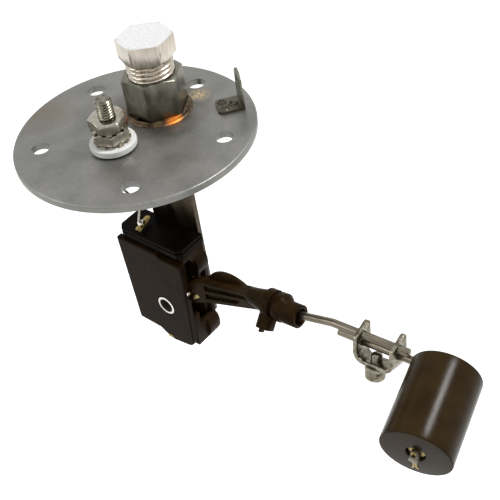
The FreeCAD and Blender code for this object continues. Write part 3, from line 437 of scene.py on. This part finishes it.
def copper_braze():
    """Braze bead gone dull brown in the fire, bright copper only where it ran thick at one
    corner."""
    return finish(
        "copper braze",
        {"patches": (2.2, 4.0), "from drop": ("DISTANCE", BRAZE_DROP)},
        ("#3b3023",
         ("#6b5940", ("patches", 0.4, 0.62)),
         ("#c8742c", ("from drop", 1.2, 3.4, 1.0, 0.0), ("patches", 0.3, 0.5, 0.5, 1.0))),
        ("patches", 0.3, 0.7, 0.35, 0.6), ("patches", 0.12), metallic=0.8)


def grained_metal(name, dark, light, glossy, dull):
    """Plated or bare metal with a slight grain and soft stains, duller where darker."""
    return finish(
        name, {"cloud": (1.2, 3.0), "grain": (0.35, 2.0)},
        (dark, (light, ("cloud", 0.35, 0.65))),
        ("cloud", 0.3, 0.7, dull, glossy), ("grain", 0.004), metallic=1.0)


def plug_plate():
    """Bright zinc on hexagon bar: the top painted near white as a painted highlight, the flats and the thread a
    little yellower, with the bar's drawing lines down them."""
    top = box_mm("port_plug")[1][2]
    # painted highlight: the top face is painted near white where a lamp's highlight falls on it
    top_painted_highlight = ("#e9e9ea", ("#fafafa", ("grain", 0.35, 0.65)))
    return finish(
        "bright zinc on the plug",
        {"lines": (0.7, 3.0, (1.0, 1.0, 0.15)), "grain": (0.5, 2.0),
         "height": ("DOT_PRODUCT", UP)},
        ("#b8afa2",
         ("#d0c9bd", ("lines", 0.35, 0.65)),
         (top_painted_highlight, ("height", top - 0.3, top - 0.05))),
        ("lines", 0.3, 0.7, 0.20, 0.30), ("grain", 0.01), metallic=1.0)


def eyelet_plate():
    """Bright zinc eyelet, its bore painted dark brown as painted shade: the colour turns at the bore's rim."""
    low, high = box_mm("pivot_rivet")
    middle = (low + high) / 2.0
    start, end = EYELET_PAINTED_SHADE - 0.05, EYELET_PAINTED_SHADE + 0.05
    return finish(
        "bright zinc on the eyelet",
        {"grain": (0.4, 2.0),
         "from axis": ("DISTANCE", (middle[0], 0.0, middle[2]), (1.0, 0.0, 1.0))},
        ("#cfc9bf",
         ("#f2f1ee", ("grain", 0.0, 1.0)),
         # painted shade in the bore: dark brown, dull and not metal inside the radius
         ("#2a1d10", ("from axis", start, end, 1.0, 0.0))),
        ("from axis", start, end, 0.6, 0.2), ("grain", 0.01),
        metallic=("from axis", start, end, 0.0, 1.0))


def drawn_wire():
    """Cold drawn steel wire: long fine die lines and a soft warm grey sheen."""
    return finish(
        "drawn steel wire", {"lines": (0.5, 3.0, (0.04, 1.0, 1.0))},
        ("#5d574b", ("#857d6f", ("lines", 0.35, 0.7))),
        ("lines", 0.3, 0.7, 0.26, 0.40), ("lines", 0.015), metallic=1.0)


def moulded_plastic(name, dark, light, grain, glossy, dull):
    """Moulding: brown-black, a fine spark-eroded grain and faint flow clouds. Its gloss is
    kept low, because the white surroundings would veil it."""
    return finish(
        name, {"cloud": (7.0, 3.0), "grain": (grain, 2.0)},
        (dark, (light, ("cloud", 0.35, 0.68))),
        ("cloud", 0.3, 0.7, glossy, dull), ("grain", 0.03), Specular_IOR_Level=0.025)


def nylon():
    """Natural nylon: milky white with a little light inside."""
    return finish(
        "natural nylon", {"cloud": (4.0, 2.0)},
        ("#dcdcd8", ("#f1f1ee", ("cloud", 0.0, 1.0))), 0.38, ("cloud", 0.03),
        Subsurface_Weight=0.2, Subsurface_Radius=(0.001, 0.001, 0.0009))


def plain_brass():
    """Stamped brass strip, lightly tarnished."""
    return finish(
        "stamped brass", {"cloud": (1.5, 3.0)},
        ("#7f6d42", ("#b09c68", ("cloud", 0.0, 1.0))),
        ("cloud", 0.3, 0.7, 0.22, 0.4), ("cloud", 0.01), metallic=1.0)


def phenolic():
    """Paper phenolic card: brown with a faint paper fibre."""
    return finish(
        "paper phenolic", {"fibre": (0.6, 4.0, (1.0, 1.0, 0.2))},
        ("#2a1c10", ("#3f2b18", ("fibre", 0.0, 1.0))), 0.5, ("fibre", 0.01))


def float_skin():
    """Closed-cell nitrile moulding: satin brown-black skin with a fine pebble."""
    return finish(
        "nitrile foam skin", {"cloud": (6.0, 3.0), "pebble": (0.28, 2.0)},
        ("#2a1d09", ("#342610", ("cloud", 0.35, 0.65))),
        ("pebble", 0.3, 0.7, 0.16, 0.23), ("pebble", 0.03), Specular_IOR_Level=0.08)


# Pieces made as surfaces

def make_stud(look):
    """The stud: a rolled thread from end to end with chamfered tips."""
    crest = (stud_high[0] - stud_low[0]) / 2.0 - 0.01
    grid = thread_grid(stud_centre, stud_low[2], stud_high[2], crest, STUD_THREAD_DEPTH,
                       STUD_PITCH)
    place(closed_tube("threaded_stud", grid, 50.0), "sender", look, "terminal_stud")


def make_plug(look):
    """The plug: its hexagon head from the solid, and below it a taper pipe thread, a screw
    surface whose crest widens upwards by 1 in 32."""
    foot = box_mm("port_plug")[1][2] - PLUG_HEAD_HEIGHT
    corners = np.array([v.co for v in nodes["port_plug"].data.vertices]) / MM
    across = np.linalg.norm(corners[:, :2] - port_centre[:2], axis=1)
    neck = across[np.abs(corners[:, 2] - foot) < 0.05].min()
    place(softened("port_plug", 0.12, cut_below=foot + 0.01), "sender", look, "port_plug")
    grid = thread_grid(port_centre, coupling_high[2] - PLUG_THREAD_SUNK, foot + 0.05,
                       neck - 0.02, PLUG_THREAD_DEPTH, PLUG_PITCH, PLUG_TAPER,
                       lead_in=0.5, sides=96)
    piece = place(closed_tube("plug_thread", grid, 60.0), "sender", look)


def make_cotter(look):
    """The split pin: one wire, up one leg, round the eye and down the other leg. The legs
    stand gap off the middle, and their tips bend out by flare t^2, where t goes from 0 to 1
    over the last reach of them. The eye is an arc between the legs."""
    wire, gap, eye, flare, reach = 0.25, 0.27, 0.5, 0.5, 1.2
    fallen = np.array((0.0, 0.0, -1.0))
    down = fallen - FLOAT_AXIS * np.dot(fallen, FLOAT_AXIS)
    down /= np.linalg.norm(down)
    side = np.cross(FLOAT_AXIS, down)
    fall = np.linspace(0.6, COTTER_LENGTH, 14)
    spread = gap + flare * np.clip((fall - COTTER_LENGTH + reach) / reach, 0.0, 1.0) ** 2
    turn = np.linspace(math.radians(-50.0), math.radians(230.0), 24)
    across = np.concatenate([spread[::-1], eye * np.cos(turn), -spread])
    along = np.concatenate([fall[::-1], -eye * np.sin(turn), fall])
    path = np.array(COTTER_EYE) + across[:, None] * side + along[:, None] * down
    piece = closed_tube("split_pin", swept(path, wire, 12), 60.0)
    place(piece, body_of["cotter_pin"], look, "cotter_pin")


def make_wrap(look):
    """The bare lead's end, wound a little over twice round its own foot at the terminal:
    point (radius cos t, radius sin t, start + advance t) of a helix."""
    wire, radius, start, advance = 0.27, 0.8, -0.5, 0.075
    turn = np.linspace(0.0, 4.4 * np.pi, 90)
    helix = [radius * np.cos(turn), radius * np.sin(turn), start + advance * turn]
    path = np.array(WRAP_MIDDLE) + np.stack(helix, 1)
    piece = place(closed_tube("lead_wrap", swept(path, wire, 12), 60.0), "sender", look)


def make_contact(name, middle, half, look):
    """A small coined contact: |x/a|^5 + |y/b|^5 + |z/c|^5 = 1, so a plate with soft rims. Its
    points are (a C(rise) C(turn), b C(rise) S(turn), c S(rise)), where C and S are the cosine
    and the sine with their sizes raised to 2/5."""
    rise = np.linspace(-np.pi / 2.0, np.pi / 2.0, 15)[:, None]
    turn = np.linspace(0.0, 2.0 * np.pi, 32, endpoint=False)[None, :]
    cos_rise, sin_rise, cos_turn, sin_turn = (
        np.sign(wave) * np.abs(wave) ** (2.0 / 5.0)
        for wave in (np.cos(rise), np.sin(rise), np.cos(turn), np.sin(turn)))
    x, y = cos_rise * cos_turn, cos_rise * sin_turn
    z = np.broadcast_to(sin_rise, x.shape)
    grid = np.array(middle) + np.stack([x, y, z], -1) * np.array(half)
    place(closed_tube(name, grid, 40.0), "sender", look)


def make_float(look):
    """The float: a revolved skin with its bore and its counterbore. Its rims are quarter
    circles, the far one (r - c + c sin t, c - c cos t) for a float of radius r and a rim c."""
    corners = np.array([v.co for v in nodes["float"].data.vertices]) / MM - FLOAT_FAR
    along = corners @ FLOAT_AXIS
    across = np.linalg.norm(corners - along[:, None] * FLOAT_AXIS, axis=1)
    length, radius, bore = along.max(), across.max(), across.min()
    mouth = across[along > length - 0.1].min()
    floor = length - FLOAT_COUNTERBORE
    rim = FLOAT_RIM
    turn = np.linspace(0.0, np.pi / 2.0, 7)
    far_rim = np.stack([radius - rim + rim * np.sin(turn), rim - rim * np.cos(turn)], 1)
    near_rim = np.stack([radius - rim + rim * np.cos(turn),
                         length - rim + rim * np.sin(turn)], 1)
    body = np.stack([np.full(12, radius), np.linspace(rim, length - rim, 12)], 1)[1:-1]
    inside = [(mouth + 0.25, length), (mouth, length - 0.25), (mouth, floor + 0.15),
              (mouth - 0.15, floor), (bore, floor), (bore, floor - 0.5), (bore, 0.5)]
    profile = np.concatenate([[(bore, 0.0), (bore + 0.5, 0.0)], far_rim, body, near_rim, inside])
    grid = revolved(profile, FLOAT_FAR, FLOAT_AXIS, FLOAT_SIDES)
    last = (len(profile) - 1) * FLOAT_SIDES
    closing = [[last + j, last + (j + 1) % FLOAT_SIDES, (j + 1) % FLOAT_SIDES, j]
               for j in range(FLOAT_SIDES)]
    piece = mesh_object("moulded_float", grid.reshape(-1, 3),
                        grid_faces(*grid.shape[:2]) + closing)
    place(smooth(outward(piece), 40.0), "float", look, "float")


# Put the pieces together: each solid's material and the width of its rounded edges
steel = pressed_steel()
bar_steel = machined_steel()
zinc = grained_metal("bright zinc plate", "#9a9488", "#b3ada0", 0.16, 0.24)
plug_zinc = plug_plate()
wrap_zinc = grained_metal("bright zinc on the lead", "#cfc8bc", "#f0eeea", 0.14, 0.26)
eyelet_zinc = eyelet_plate()
clamp_zinc = grained_metal("bright zinc on the clamp", "#5f5a4d", "#8f8a7b", 0.18, 0.32)
black_moulding = moulded_plastic("glass-filled black moulding", "#1e1409", "#2a1d0f",
                                 0.3, 0.24, 0.36)
# painted shade: the lid is the housing's black moulding, made darker to stand in for the flange's shadow over it
lid_moulding_painted_shade = moulded_plastic("black moulded lid, painted shade", "#0b0907", "#15100a", 0.3, 0.26, 0.38)
arm_moulding = moulded_plastic("black acetal moulding", "#22180b", "#332411", 0.35, 0.22, 0.34)
gasket_fibre = moulded_plastic("vulcanised fibre", "#131110", "#201d1a", 0.4, 0.6, 0.75)
white_nylon = nylon()
brass = plain_brass()
rod_steel = drawn_wire()
# painted shade: the strap's bare steel is made dark brown for the flange's shadow that falls on it
strip_steel_painted_shade = grained_metal("bare strip steel, painted shade", "#3d342a", "#483e32", 0.26, 0.38)

finishes = {
    "flange_plate": (steel, 0.2), "port_coupling": (bar_steel, 0.3),
    "braze_bead": (copper_braze(), 0.2), "upper_insulator": (white_nylon, 0.15),
    "lower_star_washer": (zinc, 0.04), "lower_nut": (zinc, 0.08),
    "upper_star_washer": (zinc, 0.04), "upper_nut": (zinc, 0.08),
    "stud_gasket": (gasket_fibre, 0.05), "under_insulator": (white_nylon, 0.15),
    "lead_lug": (brass, 0.08), "under_nut": (zinc, 0.12),
    "ground_terminal": (bar_steel, 0.08), "support_strap": (strip_steel_painted_shade, 0.2),
    "housing_base": (black_moulding, 0.2), "housing_cover": (black_moulding, 0.12),
    "housing_lid": (lid_moulding_painted_shade, 0.12), "input_terminal": (brass, 0.06),
    "lead_wire": (zinc, 0.02), "pivot_rivet": (eyelet_zinc, 0.08),
    "resistor_card": (phenolic(), 0.05), "resistor_winding": (zinc, 0.03),
    "float_arm": (arm_moulding, 0.3), "wiper_contact": (brass, 0.04),
    "cable_tie": (arm_moulding, 0.12), "arm_rod": (rod_steel, 0.1),
    "clamp_bracket": (clamp_zinc, 0.12), "clamp_screw": (clamp_zinc, 0.08),
    "clamp_lock_washer": (clamp_zinc, 0.05), "float_rod": (rod_steel, 0.1),
    "float_retainer": (brass, 0.04),
}
for node, (look, edge) in finishes.items():
    place(softened(node, edge), body_of[node], look, node)
make_stud(clamp_zinc)
make_plug(plug_zinc)
make_cotter(brass)
make_wrap(wrap_zinc)
make_contact("edge_contact", *EDGE_CONTACT, wrap_zinc)
make_contact("foot_contact", *FOOT_CONTACT, brass)
make_float(float_skin())


# Floor, light and camera

def seen_ray(tree):
    """1 for the rays that show the background to the camera, straight, by gloss or through
    glass, and 0 for those that light the object."""
    path = add(tree, "ShaderNodeLightPath")
    seen = path.outputs["Is Camera Ray"]
    for other in ("Is Glossy Ray", "Is Transmission Ray"):
        seen = add(tree, "ShaderNodeMath", {"operation": "MAXIMUM"},
                   i0=seen, i1=path.outputs[other]).outputs[0]
    return seen


def lowest_reach():
    """Height in metres of the lowest point that the float gets to as the arm swings down: its
    corners turned about the pivot by the joint's lower limit."""
    swing = joints["arm_pivot"]
    pivot = Vector(swing["pos_m"])
    turn = Matrix.Rotation(math.radians(swing["range_deg"][0]), 3, Vector(swing["axis"]))
    return min((turn @ (v.co - pivot) + pivot).z for v in nodes["float"].data.vertices)


def make_floor():
    """Pale floor, low enough for the float at the bottom of its swing."""
    level = min(cad_box[0][2], lowest_reach()) - FLOOR_GAP * MM
    half = FLOOR_HALF_M
    mesh = bpy.data.meshes.new("floor")
    mesh.from_pydata([(-half, -half, level), (half, -half, level), (half, half, level),
                      (-half, half, level)], [], [(0, 1, 2, 3)])
    floor = linked("floor", mesh)
    made, tree, surface = principled("matt white paper")
    for socket, value in (("Base Color", linear("#f4f4f3")), ("Roughness", 0.9),
                          ("Specular IOR Level", 0.1), ("Emission Color", (1.0,) * 4)):
        surface.inputs[socket].default_value = value
    glow = add(tree, "ShaderNodeMapRange", None, Value=seen_ray(tree),
               To_Min=0.0, To_Max=FLOOR_GLOW)
    tree.links.new(glow.outputs[0], surface.inputs["Emission Strength"])
    mesh.materials.append(made)


def make_world():
    """White surroundings as the camera and reflections see them, dimmer as light."""
    world = bpy.data.worlds.new("studio")
    world.use_nodes = True
    tree = world.node_tree
    background = next(n for n in tree.nodes if n.type == "BACKGROUND")
    background.inputs["Color"].default_value = (1.0,) * 4
    strength = add(tree, "ShaderNodeMapRange", None, Value=seen_ray(tree),
                   To_Min=SKY_LIGHT, To_Max=1.0)
    tree.links.new(strength.outputs[0], background.inputs["Strength"])
    bpy.context.scene.world = world


def add_lamp(name, place_mm, size_mm, watts):
    """Square soft lamp aimed at the middle of the object."""
    light = bpy.data.lights.new(name, "AREA")
    light.size = size_mm * MM
    light.energy = watts
    lamp = linked(name, light)
    aim = Vector(LAMP_AIM) - Vector(place_mm)
    lamp.location = Vector(place_mm) * MM
    lamp.rotation_euler = aim.to_track_quat("-Z", "Y").to_euler()


def make_camera():
    """The camera of the photograph."""
    camera = bpy.data.cameras.new("photo camera")
    camera.lens = CAMERA_LENS
    camera.sensor_width = SENSOR
    camera.clip_start = 0.01
    seat = linked("photo camera", camera)
    columns = [Vector(CAMERA_RIGHT), -Vector(CAMERA_DOWN), -Vector(CAMERA_FORWARD)]
    turn = Matrix([[c[row] for c in columns] for row in range(3)])
    seat.matrix_world = Matrix.Translation(Vector(CAMERA_PLACE) * MM) @ turn.to_4x4()
    bpy.context.scene.camera = seat


make_floor()
make_world()
for name, lamp in LAMPS.items():
    add_lamp(name, *lamp)
make_camera()
bpy.context.scene.view_settings.view_transform = "Standard"
